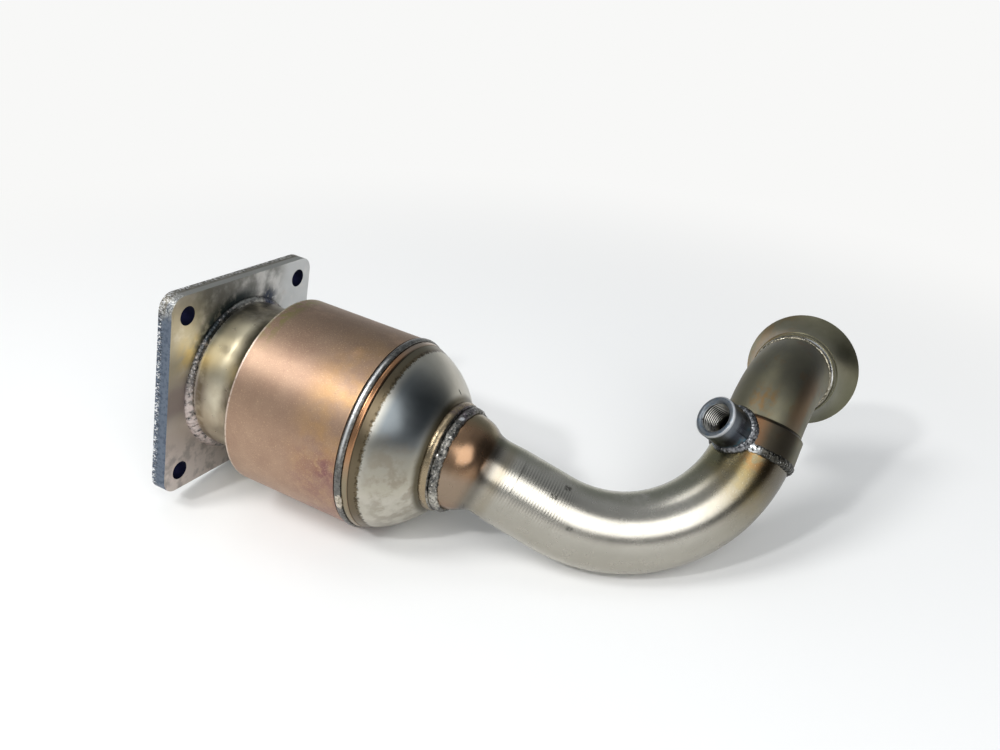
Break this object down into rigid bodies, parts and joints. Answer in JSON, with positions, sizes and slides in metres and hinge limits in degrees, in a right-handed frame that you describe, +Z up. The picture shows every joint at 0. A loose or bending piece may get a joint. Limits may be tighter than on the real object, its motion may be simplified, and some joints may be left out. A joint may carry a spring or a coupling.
{
  "type": "catalytic converter",
  "caption": "Catalytic converter with a square bolt flange, round can, spun outlet cone, bent front pipe, oxygen sensor boss and flared outlet.",
  "frame": {"origin": "centre of the inlet flange's gasket face, which is also the centre of its four bolt holes", "axes": "the part lies as it comes to rest on a flat floor, with +Z up: the can's axis runs from the inlet flange roughly along +X and dips by 4.6 degrees, the bent pipe turns towards +Y, and the floor is the lowest point of the flange's low corner, the can's seam bead and the bend of the front pipe"},
  "size_m": [0.3423, 0.2423, 0.1291],
  "materials": {
    "flange_steel": "dull laser-cut plate with soot and blue heat tint",
    "neck_stainless": "drawn stainless, warm tint",
    "can_stainless": "bronze heat tint, satin",
    "dome_stainless": "spun stainless, brown tint at its lip",
    "pipe_stainless": "brushed tube with bronze tint at its ends",
    "elbow_stainless": "dark olive and brown heat tint, satin",
    "boss_steel": "turned steel, blue-black heat tint",
    "flare_steel": "turned, olive grey",
    "weld_bead": "dark rippled weld with bright specks",
    "cordierite": "matt beige honeycomb",
    "expanding_mat": "matt fibre mat",
    "knitted_mesh": "knitted wire"
  },
  "bodies": {
    "root": {"inlet_flange": "flange_steel", "inlet_weld": "weld_bead", "inlet_cone": "neck_stainless", "shell_weld": "weld_bead", "can_shell": "can_stainless", "ceramic_brick": "cordierite", "support_mat": "expanding_mat", "mesh_seal_inlet": "knitted_mesh", "mesh_seal_outlet": "knitted_mesh", "seam_weld": "weld_bead", "outlet_cone": "dome_stainless", "outlet_weld": "weld_bead", "front_pipe": "pipe_stainless", "joint_weld": "weld_bead", "outlet_elbow": "elbow_stainless", "sensor_boss": "boss_steel", "sensor_boss_weld": "weld_bead", "flare_weld": "weld_bead", "outlet_flare": "flare_steel"}
  },
  "joints": []
}
